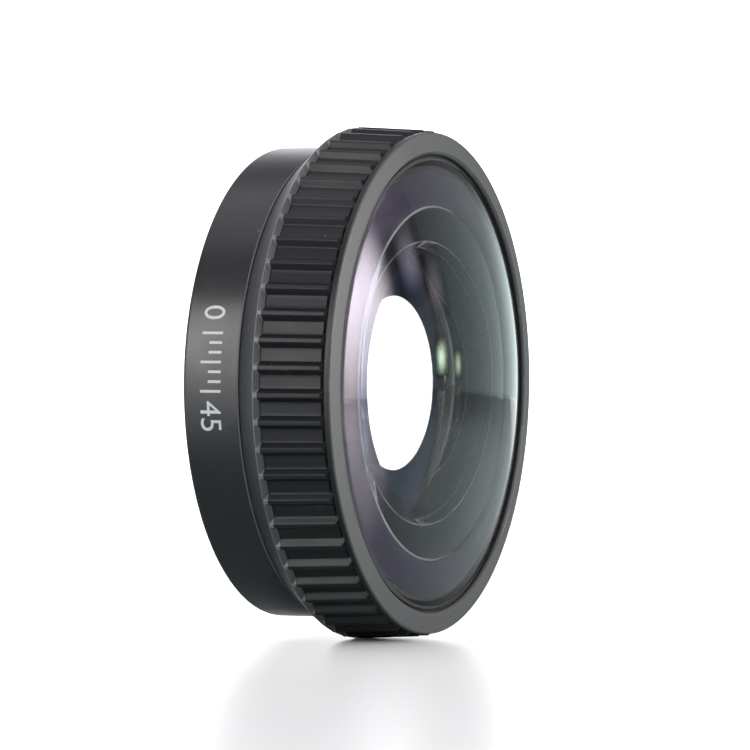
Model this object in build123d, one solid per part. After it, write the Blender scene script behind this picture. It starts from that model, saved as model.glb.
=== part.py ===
from build123d import *
from math import asin, degrees, pi, radians, sqrt, tan
import os

# Wide-angle conversion lens for a small camera, standing on its ribbed rim.
# Millimetres. The origin is the centre of the rear seat face, on the optical axis.
# The front glass looks along -Y and +Z is up. Every "depth" below is a distance along
# the axis from the rear seat face towards the front glass.

# Fits shared by the whole lens
running_fit = 0.05
slip_fit = 0.02
axial_play = 0.04

# Rear skirt that slips over the round boss of the camera
skirt_bore_radius = 16.5
pilot_length = 2.4
skirt_length = 4.66
groove_step = 0.19
shoulder_step = 0.5
rear_edge_radius = 0.2
edge_break = 0.07

# Lock ring turning inside the skirt, with inward lugs that grip the boss
lock_relief = 0.22
lock_ring_wall = 0.63
lock_ring_length = 1.4
lock_lug_count = 3
lock_lug_reach = 1.3
lock_lug_length = 0.7
lock_lug_angle = 38.0
lock_turn = 45.0

# Neck of the base, which the collar turns on
neck_wall = 0.6
neck_length = 4.1

# Drive pins that tie the collar to the lock ring through windows in the neck
drive_pin_radius = 0.5
drive_pin_depth = 0.5
window_clearance = 0.05

# Detent ball and spring behind the lock ring
detent_ball_radius = 0.25
detent_lift = 0.14
detent_hole_length = 3.0
spring_wire_radius = 0.05
spring_turns = 7

# Ribbed collar
collar_flare = 1.6
collar_flare_length = 1.85
crest_taper = 0.3
crest_chamfer = 0.2
crest_width = 0.26
rib_count = 60
rib_height = 0.5
flute_flank_angle = 52.0
flute_ramp = 0.3
flute_front_slope = 0.3

# Front bezel and its tail tube
bezel_bore_step = 0.1
bezel_tail_wall = 0.6
bezel_rim_setback = 0.5
bezel_rim_rise = 0.9
bezel_rim_thickness = 0.5
bezel_rim_gap = 0.06
bezel_rim_chamfer = 0.1
bezel_face_crown = 0.22
bezel_mouth_chamfer = 0.2
washer_thickness = 0.25

# Barrel that carries the front glass, and the cell that carries the rear pair
barrel_flange_length = 2.41
barrel_seat_wall = 1.63
cell_wall = 0.9
cell_overhang = 0.1
cell_flange_width = 0.6
cell_flange_length = 0.4

# Front element, a thin dome
front_glass_gap = 0.25
front_glass_thickness = 1.99
front_glass_curve = 49.0
front_glass_rear_curve = 54.0
front_glass_rim_width = 1.0
front_glass_bevel_width = 0.22
front_glass_bevel_height = 0.16

# Second element, a meniscus with a deep rear bowl
front_air_gap = 0.29
second_glass_thickness = 2.1
second_glass_curve = 48.0
second_glass_bowl_curve = 20.0
second_glass_bevel = 0.25
bowl_rim_step = 0.85

# Dished hood ring that holds the second element, and the spacer behind it
hood_ring_wall = 2.3
hood_face_curve = 73.0
hood_mouth_step = 0.3
hood_lip_overlap = 0.1
hood_ring_length = 1.71
spacer_thickness = 0.8
spacer_rim_step = 0.15

# Cemented rear pair
doublet_step = 4.25
doublet_edge_rise = 0.04
doublet_curve = 60.0
doublet_joint_curve = 18.0
crown_thickness = 3.8
flint_thickness = 2.0
doublet_lip_width = 0.2
doublet_lip_height = 0.2

# Rear mask, retainer, cover and gasket
mask_width = 2.7
mask_thickness = 0.15
retainer_hole_step = 1.6
retainer_length = 0.65
retainer_slot_width = 0.8
cover_thickness = 0.5
gasket_lug_gap = 0.3
gasket_width = 1.1
gasket_height = 0.8
gasket_groove = 0.15

# Fasteners
cover_screw_count = 4
cover_screw_radius = 0.5
cover_screw_head_radius = 0.95
cover_screw_head_length = 0.4
cover_screw_slot = 0.22
screw_tip_wall = 0.3
set_screw_count = 3
set_screw_radius = 0.5
set_screw_length = 1.0
seal_section_radius = 0.14

# Radii worked out from the skirt bore outwards
lock_inner_radius = skirt_bore_radius + lock_relief
lock_outer_radius = lock_inner_radius + lock_ring_wall
lug_inner_radius = skirt_bore_radius - lock_lug_reach
detent_circle = (lock_inner_radius + lock_outer_radius) / 2
groove_radius = lock_outer_radius + running_fit
neck_radius = groove_radius + neck_wall
base_radius = neck_radius + shoulder_step
collar_bore_radius = neck_radius + running_fit
crest_radius = base_radius + collar_flare
rib_root_radius = crest_radius - rib_height
bezel_bore_radius = neck_radius - bezel_bore_step
bezel_tail_radius = bezel_bore_radius + bezel_tail_wall
counterbore_radius = bezel_tail_radius + running_fit
bezel_rim_radius = crest_radius - bezel_rim_setback
front_glass_radius = bezel_bore_radius - front_glass_gap
front_rim_radius = front_glass_radius - front_glass_rim_width
barrel_flange_radius = bezel_bore_radius - slip_fit
barrel_tube_radius = groove_radius - slip_fit
hood_bore_radius = barrel_flange_radius - barrel_seat_wall
hood_mouth_radius = hood_bore_radius - hood_ring_wall
second_glass_radius = hood_mouth_radius - hood_mouth_step
doublet_radius = second_glass_radius - doublet_step
hood_lip_radius = second_glass_radius - hood_lip_overlap
hood_pocket_radius = second_glass_radius + slip_fit
bowl_rim_radius = doublet_radius + bowl_rim_step
spacer_inner_radius = bowl_rim_radius + spacer_rim_step
mask_hole_radius = doublet_radius - mask_width
cell_bore_radius = doublet_radius + slip_fit
cell_radius = cell_bore_radius + cell_wall
cell_flange_radius = cell_radius + cell_flange_width
web_bore_radius = cell_radius + slip_fit
gasket_outer_radius = lug_inner_radius - gasket_lug_gap
gasket_inner_radius = gasket_outer_radius - gasket_width
cover_screw_circle = (cell_flange_radius + gasket_inner_radius) / 2


def sag(curve, radius):
    # Height lost by a sphere between its apex and a given radius
    return curve - sqrt(curve**2 - radius**2)


# Depths of the housing, from the rear seat face forwards
groove_depth = skirt_length + groove_step
lock_ring_depth = groove_depth + axial_play
cover_depth = lock_ring_depth + lock_ring_length + axial_play
barrel_depth = cover_depth + cover_thickness
neck_depth = groove_depth + neck_length
glass_seat_depth = neck_depth + barrel_flange_length
collar_rear_depth = skirt_length + axial_play
flare_top_depth = collar_rear_depth + collar_flare_length
washer_depth = neck_depth + slip_fit
bezel_tail_depth = washer_depth + washer_thickness
bezel_rim_depth = glass_seat_depth + bezel_rim_rise
bezel_edge_depth = bezel_rim_depth + bezel_rim_thickness
bezel_face_depth = bezel_edge_depth + bezel_face_crown
collar_front_depth = bezel_rim_depth - bezel_rim_gap
drive_pin_station = lock_ring_depth + lock_ring_length / 2
set_screw_station = (barrel_depth + neck_depth) / 2
detent_ball_depth = lock_ring_depth + detent_lift - detent_ball_radius
detent_hole_depth = groove_depth - detent_hole_length

# Depths of the glass, from the front seat back to the rear pair
front_rear_apex = glass_seat_depth + sag(front_glass_rear_curve, front_rim_radius)
front_apex = front_rear_apex + front_glass_thickness
front_edge_depth = (
    front_apex - sag(front_glass_curve, front_glass_radius - front_glass_bevel_width)
    - front_glass_bevel_height
)
second_apex = front_rear_apex - front_air_gap
bowl_apex = second_apex - second_glass_thickness
second_rim_depth = bowl_apex - sag(second_glass_bowl_curve, bowl_rim_radius)
barrel_web_depth = second_rim_depth - spacer_thickness
hood_seat_depth = glass_seat_depth - hood_ring_length
doublet_edge_depth = second_rim_depth + doublet_edge_rise
doublet_apex = doublet_edge_depth + sag(doublet_curve, doublet_radius)
joint_apex = doublet_apex - crown_thickness
doublet_rear_depth = joint_apex - flint_thickness
mask_depth = doublet_rear_depth - mask_thickness
retainer_depth = mask_depth - retainer_length
cell_depth = retainer_depth - cell_overhang
cell_flange_depth = cover_depth - cell_flange_length
screw_tip_depth = barrel_web_depth - screw_tip_wall

# The pins stand between the lugs, and the detent between a pin and a lug.
full_turn = 360.0
pin_angle = full_turn / lock_lug_count / 2
detent_angle = pin_angle / 2
set_screw_angle = full_turn / set_screw_count / 2
cover_screw_angle = full_turn / cover_screw_count / 2

# Local x is the radius from the axis and local y is the depth.
section_plane = Plane(origin=(0, 0, 0), x_dir=(1, 0, 0), z_dir=(0, 0, -1))


def turned(outline, angle=full_turn):
    # Solid of revolution of a closed outline in (radius, depth), starting straight up
    return Rotation(0, -90, 0) * revolve(section_plane * make_face(outline), Axis.Y, angle)


def turned_polygon(points, angle=full_turn):
    return turned(Polyline(*points, close=True), angle)


def ring(inner, outer, rear, front, angle=full_turn):
    return turned_polygon([(inner, rear), (outer, rear), (outer, front), (inner, front)], angle)


def dome_arc(apex, curve, radius):
    # Spherical surface that falls back from its apex, as an arc in the section
    middle = radius / 2
    return ThreePointArc(
        (0, apex),
        (middle, apex - sag(curve, middle)),
        (radius, apex - sag(curve, radius)),
    )


def spin(angle):
    return Rotation(0, angle, 0)


def around(count, first=0.0):
    # Equal turns about the optical axis
    return [spin(first + full_turn * i / count) for i in range(count)]


def radial_cylinder(radius, inner, outer, depth):
    # Round pin or hole square to the axis, straight above it
    length = outer - inner
    return Pos(0, -depth, inner + length / 2) * Cylinder(radius, length)


def axial_cylinder(radius, rear, front, circle):
    # Round pin or hole along the axis, straight above it
    length = front - rear
    return Pos(0, -(rear + length / 2), circle) * Rotation(90, 0, 0) * Cylinder(radius, length)


def set_screw_turns():
    return around(set_screw_count, set_screw_angle)


def cover_screw_turns():
    return around(cover_screw_count, cover_screw_angle)


def drive_pin_turns():
    return around(lock_lug_count, pin_angle)


def base_ring():
    # Machined skirt with a thin neck in front; the collar turns on the neck
    body = turned_polygon([
        (skirt_bore_radius, 0),
        (base_radius, 0),
        (base_radius, skirt_length - edge_break),
        (base_radius - edge_break, skirt_length),
        (neck_radius, skirt_length),
        (neck_radius, neck_depth),
        (groove_radius, neck_depth),
        (groove_radius, groove_depth),
        (lock_inner_radius, groove_depth),
        (lock_inner_radius, pilot_length),
        (skirt_bore_radius, pilot_length),
    ])
    rims = body.edges().filter_by(GeomType.CIRCLE)
    rear_rim = rims.group_by(Axis.Y)[-1].sort_by(SortBy.RADIUS)[-1]
    body = fillet(rear_rim, rear_edge_radius)
    body -= [turn * drive_window() for turn in drive_pin_turns()]
    screw_hole = radial_cylinder(
        set_screw_radius + slip_fit, groove_radius - neck_wall, base_radius, set_screw_station
    )
    body -= [turn * screw_hole for turn in set_screw_turns()]
    ball_hole = axial_cylinder(
        detent_ball_radius + slip_fit, detent_hole_depth, cover_depth, detent_circle
    )
    return body - spin(detent_angle) * ball_hole


def drive_window():
    # Slot through the neck, as long as the turn of the collar; its ends are the stops
    half = drive_pin_radius + window_clearance
    overrun = degrees(asin(half / groove_radius))
    slot = ring(
        groove_radius - neck_wall, base_radius,
        drive_pin_station - half, drive_pin_station + half,
        lock_turn + 2 * overrun,
    )
    return spin(-overrun) * slot


def lens_barrel():
    # Barrel with a tube inside the neck, a flange under the front glass and a web for the rear cell
    body = turned_polygon([
        (barrel_tube_radius, barrel_depth),
        (barrel_tube_radius, neck_depth),
        (barrel_flange_radius, neck_depth),
        (barrel_flange_radius, glass_seat_depth),
        (hood_bore_radius, glass_seat_depth),
        (hood_bore_radius, hood_seat_depth),
        (hood_pocket_radius, hood_seat_depth),
        (hood_pocket_radius, barrel_web_depth),
        (web_bore_radius, barrel_web_depth),
        (web_bore_radius, barrel_depth),
    ])
    set_hole = radial_cylinder(
        set_screw_radius + slip_fit, set_screw_tip() - slip_fit, neck_radius, set_screw_station
    )
    body -= [turn * set_hole for turn in set_screw_turns()]
    cover_hole = axial_cylinder(
        cover_screw_radius + slip_fit, cover_depth, screw_tip_depth + slip_fit, cover_screw_circle
    )
    body -= [turn * cover_hole for turn in cover_screw_turns()]
    half = seal_section_radius + slip_fit
    groove = ring(
        barrel_tube_radius - 2 * half, neck_radius, seal_station() - half, seal_station() + half
    )
    return body - groove


def seal_station():
    return neck_depth - 3 * seal_section_radius


def rear_cell():
    # Tube screwed through the cover into the web; its front lip stops the rear pair
    lip_radius = doublet_radius - doublet_lip_width
    lip_depth = doublet_apex - sag(doublet_curve, lip_radius) + slip_fit
    lip_front = lip_depth + doublet_lip_height
    return turned_polygon([
        (cell_radius, cell_depth),
        (cell_radius, cell_flange_depth),
        (cell_flange_radius, cell_flange_depth),
        (cell_flange_radius, cover_depth),
        (cell_radius, cover_depth),
        (cell_radius, barrel_web_depth + cell_overhang),
        (cell_bore_radius, lip_front),
        (lip_radius, lip_front),
        (lip_radius, lip_depth),
        (cell_bore_radius, lip_depth),
        (cell_bore_radius, cell_depth),
    ])


def barrel_seal():
    # Round dust seal in the groove of the barrel's tube
    centre = barrel_tube_radius - seal_section_radius - slip_fit
    section = section_plane * Pos(centre, seal_station()) * Circle(seal_section_radius)
    return revolve(section, Axis.Y)


def set_screw_tip():
    return neck_radius - running_fit - set_screw_length


def set_screws():
    # Headless screws that pin the barrel to the neck, hidden under the collar
    outer = neck_radius - running_fit
    screw = radial_cylinder(set_screw_radius, set_screw_tip(), outer, set_screw_station)
    screw -= radial_cylinder(
        set_screw_radius / 2, outer - set_screw_radius, neck_radius, set_screw_station
    )
    return Compound(children=[turn * screw for turn in set_screw_turns()])


def front_bezel():
    # Ring with a sloping face, and a tail tube screwed over the barrel's flange
    return turned_polygon([
        (bezel_bore_radius, bezel_tail_depth),
        (bezel_tail_radius, bezel_tail_depth),
        (bezel_tail_radius, bezel_rim_depth),
        (bezel_rim_radius, bezel_rim_depth),
        (bezel_rim_radius, bezel_edge_depth - bezel_rim_chamfer),
        (bezel_rim_radius - bezel_rim_chamfer, bezel_edge_depth),
        (bezel_bore_radius + bezel_mouth_chamfer, bezel_face_depth),
        (bezel_bore_radius, bezel_face_depth - bezel_mouth_chamfer),
    ])


def bezel_washer():
    # Slide washer between the collar's inner shoulder and the end of the bezel's tail
    return ring(collar_bore_radius, bezel_tail_radius, washer_depth, bezel_tail_depth)


def front_element():
    # Domed glass with a ground bevel; its flat rear rim sits on the barrel
    bevel_radius = front_glass_radius - front_glass_bevel_width
    outline = dome_arc(front_apex, front_glass_curve, bevel_radius)
    outline += Polyline(
        (bevel_radius, front_edge_depth + front_glass_bevel_height),
        (front_glass_radius, front_edge_depth),
        (front_glass_radius, glass_seat_depth),
        (front_rim_radius, glass_seat_depth),
    )
    outline += dome_arc(front_rear_apex, front_glass_rear_curve, front_rim_radius)
    outline += Line((0, front_rear_apex), (0, front_apex))
    return turned(outline)


def front_seal():
    # Black bead between the edge of the front glass and the bezel's bore
    return ring(
        front_glass_radius + slip_fit, bezel_bore_radius - slip_fit,
        glass_seat_depth, front_edge_depth - running_fit,
    )


def hood_front(radius):
    # Dished face of the hood ring; its outer edge lies just under the seat of the front glass
    edge = sag(hood_face_curve, hood_bore_radius - slip_fit)
    return glass_seat_depth - slip_fit + edge - sag(hood_face_curve, radius)


def second_bevel(radius):
    # Ground bevel round the front face of the second element
    bevel_radius = second_glass_radius - second_glass_bevel
    return second_apex - sag(second_glass_curve, bevel_radius) - (radius - bevel_radius)


def hood_ring():
    # Dished ring screwed into the barrel; its lip bears on the bevel of the second element
    outer = hood_bore_radius - slip_fit
    middle = (outer + hood_mouth_radius) / 2
    lip_gap = 2 * slip_fit
    lip_depth = second_bevel(hood_lip_radius) + lip_gap
    outline = ThreePointArc(
        (outer, hood_front(outer)),
        (middle, hood_front(middle)),
        (hood_mouth_radius, hood_front(hood_mouth_radius)),
    )
    outline += Polyline(
        (hood_mouth_radius, hood_front(hood_mouth_radius)),
        (hood_lip_radius, lip_depth + running_fit),
        (hood_lip_radius, lip_depth),
        (hood_pocket_radius, second_bevel(hood_pocket_radius) + lip_gap),
        (hood_pocket_radius, hood_seat_depth),
        (outer, hood_seat_depth),
        (outer, hood_front(outer)),
    )
    return turned(outline)


def second_element():
    # Meniscus with a flat ground rim round its rear bowl
    bevel_radius = second_glass_radius - second_glass_bevel
    outline = dome_arc(second_apex, second_glass_curve, bevel_radius)
    outline += Polyline(
        (bevel_radius, second_bevel(bevel_radius)),
        (second_glass_radius, second_bevel(second_glass_radius)),
        (second_glass_radius, second_rim_depth),
        (bowl_rim_radius, second_rim_depth),
    )
    outline += dome_arc(bowl_apex, second_glass_bowl_curve, bowl_rim_radius)
    outline += Line((0, bowl_apex), (0, second_apex))
    return turned(outline)


def spacer_ring():
    # Ring that sets the gap between the second element and the barrel's web
    return ring(spacer_inner_radius, second_glass_radius, barrel_web_depth, second_rim_depth)


def joint_arc():
    # Cemented surface of the rear pair, bulging to the rear
    middle = doublet_radius / 2
    return ThreePointArc(
        (doublet_radius, joint_apex + sag(doublet_joint_curve, doublet_radius)),
        (middle, joint_apex + sag(doublet_joint_curve, middle)),
        (0, joint_apex),
    )


def crown_element():
    # Front half of the cemented pair, curved on both faces
    outline = dome_arc(doublet_apex, doublet_curve, doublet_radius)
    outline += Line(
        (doublet_radius, doublet_edge_depth),
        (doublet_radius, joint_apex + sag(doublet_joint_curve, doublet_radius)),
    )
    outline += joint_arc()
    outline += Line((0, joint_apex), (0, doublet_apex))
    return turned(outline)


def flint_element():
    # Rear half of the cemented pair, with a flat rear face
    outline = joint_arc()
    outline += Polyline(
        (0, joint_apex),
        (0, doublet_rear_depth),
        (doublet_radius, doublet_rear_depth),
        (doublet_radius, joint_apex + sag(doublet_joint_curve, doublet_radius)),
    )
    return turned(outline)


def rear_mask():
    # Thin stop whose hole sets the clear opening at the rear
    return ring(mask_hole_radius, doublet_radius, mask_depth, doublet_rear_depth)


def rear_retainer():
    # Threaded ring behind the mask, with two slots for a spanner
    body = ring(mask_hole_radius + retainer_hole_step, doublet_radius, retainer_depth, mask_depth)
    slot = Box(2 * cell_radius, retainer_length, retainer_slot_width)
    return body - Pos(0, -retainer_depth, 0) * slot


def rear_cover():
    # Plate round the cell; it closes the groove of the lock ring and carries the gasket
    body = ring(web_bore_radius, barrel_tube_radius, cover_depth, barrel_depth)
    body -= ring(
        gasket_inner_radius - slip_fit, gasket_outer_radius + slip_fit,
        cover_depth - gasket_height, cover_depth + gasket_groove,
    )
    hole = axial_cylinder(
        cover_screw_radius + slip_fit, cover_depth, barrel_depth, cover_screw_circle
    )
    hole += cover_screw_head(slip_fit)
    return body - [turn * hole for turn in cover_screw_turns()]


def cover_screw_head(extra):
    # Countersunk head, flush with the rear of the cover
    length = cover_screw_head_length
    head = Cone(cover_screw_head_radius + extra, cover_screw_radius + extra, length)
    return Pos(0, -(cover_depth + length / 2), cover_screw_circle) * Rotation(90, 0, 0) * head


def cover_screws():
    # Countersunk cross-head screws from the cover into the barrel's web
    shank_depth = cover_depth + cover_screw_head_length
    screw = cover_screw_head(0)
    screw += axial_cylinder(cover_screw_radius, shank_depth, screw_tip_depth, cover_screw_circle)
    bar = Box(2 * cover_screw_radius, 2 * cover_screw_slot, cover_screw_slot)
    screw -= [Pos(0, -cover_depth, cover_screw_circle) * spin(angle) * bar for angle in (0, 90)]
    return Compound(children=[turn * screw for turn in cover_screw_turns()])


def rear_gasket():
    # Soft ring that seals against the face of the camera's boss
    front = cover_depth + gasket_groove
    body = ring(gasket_inner_radius, gasket_outer_radius, front - gasket_height, front)
    crown = body.edges().filter_by(GeomType.CIRCLE).group_by(Axis.Y)[-1]
    return fillet(crown, gasket_width / 4)


def lock_ring():
    # Ring with inward lugs; the pins turn it with the collar
    body = ring(
        lock_inner_radius, lock_outer_radius, lock_ring_depth, lock_ring_depth + lock_ring_length
    )
    lug = ring(
        lug_inner_radius, detent_circle,
        lock_ring_depth, lock_ring_depth + lock_lug_length,
        lock_lug_angle,
    )
    body += [turn * lug for turn in around(lock_lug_count, -lock_lug_angle / 2)]
    pin_hole = radial_cylinder(
        drive_pin_radius + slip_fit, lug_inner_radius, neck_radius, drive_pin_station
    )
    body -= [turn * pin_hole for turn in drive_pin_turns()]
    return body - detent_track()


def detent_track():
    # Shallow arc in the rear face of the lock ring, with a click hollow at each end
    ball_section = Pos(detent_circle, detent_ball_depth) * Circle(detent_ball_radius + slip_fit)
    arc = spin(-90) * revolve(section_plane * ball_section, Axis.Y, lock_turn)
    hollow = Pos(0, -detent_ball_depth, detent_circle) * Sphere(detent_ball_radius + running_fit)
    start = spin(detent_angle - lock_turn)
    return [start * arc, start * hollow, spin(detent_angle) * hollow]


def detent_ball():
    # Steel ball half sunk in the base; it clicks into the hollows of the lock ring
    ball = Pos(0, -detent_ball_depth, detent_circle) * Sphere(detent_ball_radius)
    return spin(detent_angle) * ball


def detent_spring():
    # Coil that presses the ball forwards
    rear = detent_hole_depth + spring_wire_radius
    front = detent_ball_depth - detent_ball_radius - spring_wire_radius
    height = front - rear
    path = Helix(height / spring_turns, height, detent_ball_radius - 2 * spring_wire_radius)
    coil = sweep(Plane(origin=path @ 0, z_dir=path % 0) * Circle(spring_wire_radius), path)
    return spin(detent_angle) * Pos(0, -rear, detent_circle) * Rotation(90, 0, 0) * coil


def drive_pins():
    # Pins pressed through the lock ring from inside and into the collar
    pin = radial_cylinder(
        drive_pin_radius, lock_inner_radius, collar_bore_radius + drive_pin_depth, drive_pin_station
    )
    return Compound(children=[turn * pin for turn in drive_pin_turns()])


def grip_ring():
    # Ribbed collar with a smooth flared tail over the neck of the base
    crest_front = crest_radius - crest_taper
    body = turned_polygon([
        (collar_bore_radius, collar_rear_depth),
        (base_radius - edge_break, collar_rear_depth),
        (base_radius, collar_rear_depth + edge_break),
        (crest_radius - edge_break, flare_top_depth),
        (crest_radius, flare_top_depth + edge_break),
        (crest_front, collar_front_depth - crest_chamfer),
        (crest_front - crest_chamfer, collar_front_depth),
        (counterbore_radius, collar_front_depth),
        (counterbore_radius, neck_depth),
        (collar_bore_radius, neck_depth),
    ])
    pin_hole = radial_cylinder(
        drive_pin_radius + slip_fit, neck_radius,
        collar_bore_radius + drive_pin_depth + slip_fit, drive_pin_station,
    )
    body -= [turn * pin_hole for turn in drive_pin_turns()]
    flute = flute_cutter()
    return body - [turn * flute for turn in around(rib_count)]


def flute_section(floor_radius):
    # Cross section of a flute: a flat floor between two sloping flanks
    flank_slope = tan(radians(flute_flank_angle))
    pitch = 2 * pi * crest_radius / rib_count
    half_crest_gap = (pitch - crest_width) / 2
    outer = crest_radius + rib_height
    half_floor = half_crest_gap - rib_height / flank_slope
    half_outer = half_crest_gap + rib_height / flank_slope
    return Plane.XZ * make_face(Polyline(
        (-half_floor, floor_radius),
        (half_floor, floor_radius),
        (half_floor, rib_root_radius),
        (half_outer, outer),
        (-half_outer, outer),
        (-half_floor, rib_root_radius),
        close=True,
    ))


def flute_cutter():
    # One flute, with a ramp up at its rear end and a slope down at its front end
    outer = crest_radius + rib_height
    nose_radius = rib_root_radius - flute_front_slope
    nose_depth = collar_front_depth - flute_front_slope
    side_plane = Plane(origin=(0, 0, 0), x_dir=(0, -1, 0), z_dir=(-1, 0, 0))
    side = side_plane * make_face(Polyline(
        (flare_top_depth - flute_ramp, outer),
        (flare_top_depth + flute_ramp, rib_root_radius),
        (nose_depth, rib_root_radius),
        (collar_front_depth, nose_radius),
        (collar_front_depth + rib_height, nose_radius),
        (collar_front_depth + rib_height, outer),
        close=True,
    ))
    along = extrude(flute_section(nose_radius), 2 * collar_front_depth)
    return along & extrude(side, crest_radius / 2, both=True)


pieces = {
    "base_ring": base_ring,
    "lens_barrel": lens_barrel,
    "barrel_seal": barrel_seal,
    "rear_cell": rear_cell,
    "set_screws": set_screws,
    "front_bezel": front_bezel,
    "bezel_washer": bezel_washer,
    "front_element": front_element,
    "front_seal": front_seal,
    "hood_ring": hood_ring,
    "second_element": second_element,
    "spacer_ring": spacer_ring,
    "crown_element": crown_element,
    "flint_element": flint_element,
    "rear_mask": rear_mask,
    "rear_retainer": rear_retainer,
    "rear_cover": rear_cover,
    "cover_screws": cover_screws,
    "rear_gasket": rear_gasket,
    "detent_ball": detent_ball,
    "detent_spring": detent_spring,
    "grip_ring": grip_ring,
    "lock_ring": lock_ring,
    "drive_pins": drive_pins,
}

os.makedirs("parts", exist_ok=True)
for name, make in pieces.items():
    export_step(make(), f"parts/{name}.step")
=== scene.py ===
from math import atan2, cos, pi, radians, sin, sqrt, tan

import bmesh
import bpy
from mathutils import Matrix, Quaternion, Vector


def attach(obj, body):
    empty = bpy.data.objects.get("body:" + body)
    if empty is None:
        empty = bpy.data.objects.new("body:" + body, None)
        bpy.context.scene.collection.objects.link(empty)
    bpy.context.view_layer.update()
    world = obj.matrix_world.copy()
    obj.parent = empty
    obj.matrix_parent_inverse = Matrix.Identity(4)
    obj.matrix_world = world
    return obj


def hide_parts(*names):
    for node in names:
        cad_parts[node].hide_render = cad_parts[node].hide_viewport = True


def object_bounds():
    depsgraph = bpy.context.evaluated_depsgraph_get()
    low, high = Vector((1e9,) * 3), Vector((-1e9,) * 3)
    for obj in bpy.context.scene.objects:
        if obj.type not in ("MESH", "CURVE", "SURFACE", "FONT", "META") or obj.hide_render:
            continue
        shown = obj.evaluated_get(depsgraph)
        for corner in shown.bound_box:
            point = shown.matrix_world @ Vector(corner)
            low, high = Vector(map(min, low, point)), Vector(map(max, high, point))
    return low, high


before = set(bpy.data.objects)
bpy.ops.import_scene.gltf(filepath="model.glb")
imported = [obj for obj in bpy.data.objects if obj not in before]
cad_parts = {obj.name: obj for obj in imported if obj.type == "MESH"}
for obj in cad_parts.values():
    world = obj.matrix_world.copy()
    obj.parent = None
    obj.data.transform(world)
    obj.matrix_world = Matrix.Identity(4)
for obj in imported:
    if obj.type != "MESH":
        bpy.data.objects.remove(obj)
cad_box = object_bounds()


# Base ring: the smooth skirt at the rear, a machined aluminium ring in blasted black anodising.
# Its thin neck runs on inside the ribbed collar. Like the barrel and the collar, it is drawn here
# without the hidden slots, grooves and holes that the solids have for pins, screws, ball and seal.
per_metre = 1000.0
easing_steps = 3
long_face = 0.5
wear_width = 0.12
on_axis = 1e-6
round_steps = 256


def eased(corners):
    # Corners are (radius, depth, easing, finish), in millimetres. One with an easing becomes a
    # small arc, and the finish belongs to the face after it. Long faces get a line close to each
    # end, so that wear stays at their edges.
    points = []
    count = len(corners)
    for i, (radius, depth, easing, finish) in enumerate(corners):
        here = Vector((radius, depth))
        if easing <= 0:
            points.append((radius, depth, finish))
            continue
        before = Vector(corners[i - 1][:2])
        after = Vector(corners[(i + 1) % count][:2])
        start = here + (before - here).normalized() * easing
        end = here + (after - here).normalized() * easing
        for k in range(easing_steps + 1):
            t = k / easing_steps
            bend = start * (1 - t) ** 2 + here * 2 * t * (1 - t) + end * t**2
            points.append((bend.x, bend.y, finish))
    lined = []
    for (radius, depth, finish), following in zip(points, points[1:] + points[:1]):
        lined.append((radius, depth, finish))
        here = Vector((radius, depth))
        run = Vector(following[:2]) - here
        if run.length > long_face:
            inset = run.normalized() * wear_width
            for place in (here + inset, here + run - inset):
                lined.append((place.x, place.y, finish))
    return lined


def around_axis(radius, depth, turn):
    # Depth runs from the rear seat to the front; a turn of zero is straight up
    return Vector((radius * sin(turn), -depth, radius * cos(turn))) / per_metre


def turned(name, points, finishes):
    # A lathe form: the closed outline swept once round the optical axis
    form = bmesh.new()
    turns = [2 * pi * k / round_steps for k in range(round_steps)]
    rings = []
    for radius, depth, finish in points:
        if radius < on_axis:
            rings.append([form.verts.new(around_axis(0, depth, 0))] * round_steps)
        else:
            rings.append([form.verts.new(around_axis(radius, depth, turn)) for turn in turns])
    for i, (radius, depth, finish) in enumerate(points):
        here, there = rings[i], rings[(i + 1) % len(rings)]
        if radius < on_axis and points[(i + 1) % len(points)][0] < on_axis:
            continue
        for k in range(round_steps):
            n = (k + 1) % round_steps
            corners = []
            for v in (here[k], here[n], there[n], there[k]):
                if v not in corners:
                    corners.append(v)
            form.faces.new(corners).material_index = finish
    bmesh.ops.recalc_face_normals(form, faces=form.faces)
    return piece(name, form, finishes)


def piece(name, form, finishes, crease=35):
    # A smooth object of its own; faces that meet at more than the crease angle keep a sharp edge
    mesh = bpy.data.meshes.new(name)
    form.to_mesh(mesh)
    form.free()
    mesh.shade_smooth()
    mesh.set_sharp_from_angle(angle=radians(crease))
    for finish in finishes:
        mesh.materials.append(finish)
    made = bpy.data.objects.new(name, mesh)
    bpy.context.scene.collection.objects.link(made)
    return made


def node(tree, kind, settings=None, **inputs):
    # Inputs are given by name, with _ for a space, or by number as i0, i1 and so on
    made = tree.nodes.new(kind)
    for key, value in (settings or {}).items():
        setattr(made, key, value)
    for key, value in inputs.items():
        socket = made.inputs[int(key[1:])] if key[1:].isdigit() else made.inputs[key.replace("_", " ")]
        if isinstance(value, bpy.types.NodeSocket):
            tree.links.new(value, socket)
        else:
            socket.default_value = value
    return made


def maths(tree, operation, first, second=0.0):
    return node(tree, "ShaderNodeMath", {"operation": operation}, i0=first, i1=second).outputs[0]


def span(tree, value, start, end, low=0.0, high=1.0, easing="LINEAR"):
    # Carries a value from start and end over to low and high, and holds it beyond them
    made = node(tree, "ShaderNodeMapRange", {"interpolation_type": easing},
                i0=value, i1=start, i2=end, i3=low, i4=high)
    return made.outputs[0]


def texture_scale(tree, size):
    # Texture scale for features of a size in millimetres
    return maths(tree, "DIVIDE", per_metre, size)


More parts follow.
